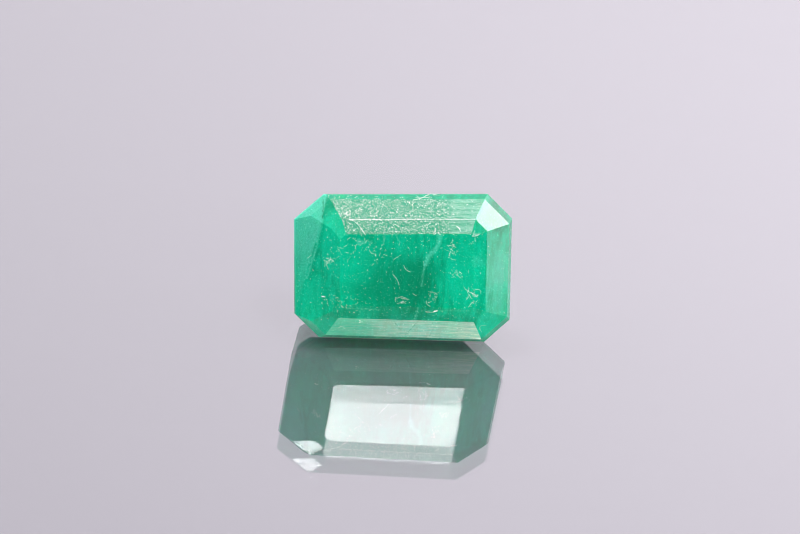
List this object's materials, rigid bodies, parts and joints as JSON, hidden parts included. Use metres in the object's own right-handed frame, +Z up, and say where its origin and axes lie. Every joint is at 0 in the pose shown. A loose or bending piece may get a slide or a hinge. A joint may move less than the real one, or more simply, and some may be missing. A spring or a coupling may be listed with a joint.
{
  "type": "cut emerald gemstone",
  "caption": "Loose step-cut emerald: a long octagon with a flat table, stepped crown, narrow girdle and deep stepped pavilion, standing on a long pavilion facet.",
  "frame": {"origin": "middle of the stone's box, on the surface that it stands on", "axes": "+X along the stone's length, -Y towards the side that the table faces, +Z up"},
  "size_m": [0.0132, 0.007, 0.0087],
  "materials": {
    "emerald": "polished, with fine wear and dust"
  },
  "bodies": {
    "root": {"emerald": "emerald"}
  },
  "joints": []
}
